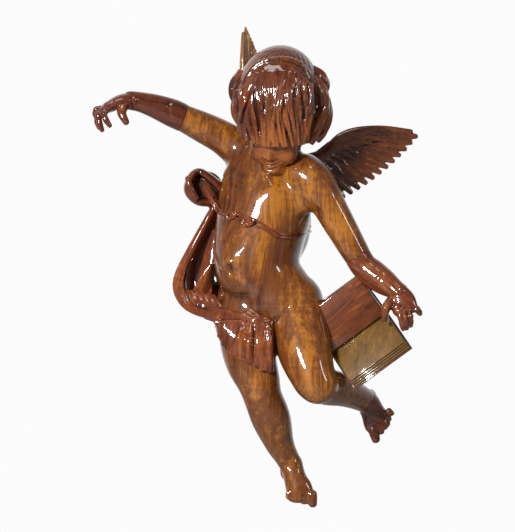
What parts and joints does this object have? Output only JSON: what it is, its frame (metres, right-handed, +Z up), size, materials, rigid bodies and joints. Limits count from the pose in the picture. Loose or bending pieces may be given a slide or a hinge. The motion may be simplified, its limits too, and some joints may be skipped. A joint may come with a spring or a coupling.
{
  "type": "carved wooden flying cherub angel",
  "caption": "Wall-hung flying cherub angel carved in varnished walnut, wings raised, with a draped hip cloth and an open book under the left hand.",
  "frame": {"origin": "on the flat planed on the figure's back, where it touches the wall", "axes": "+Z up, +Y into the wall, +X to the right of a viewer who faces the wall"},
  "size_m": [0.4875, 0.1955, 0.7208],
  "materials": {
    "walnut_body": "gloss varnish",
    "walnut_forearm": "gloss varnish",
    "walnut_wing": "gloss varnish",
    "walnut_book": "gloss varnish"
  },
  "bodies": {
    "root": {"figure": "walnut_body", "right_forearm": "walnut_forearm", "left_forearm": "walnut_forearm", "left_foot": "walnut_forearm", "left_wing": "walnut_wing", "right_wing": "walnut_wing", "book": "walnut_book"}
  },
  "joints": []
}
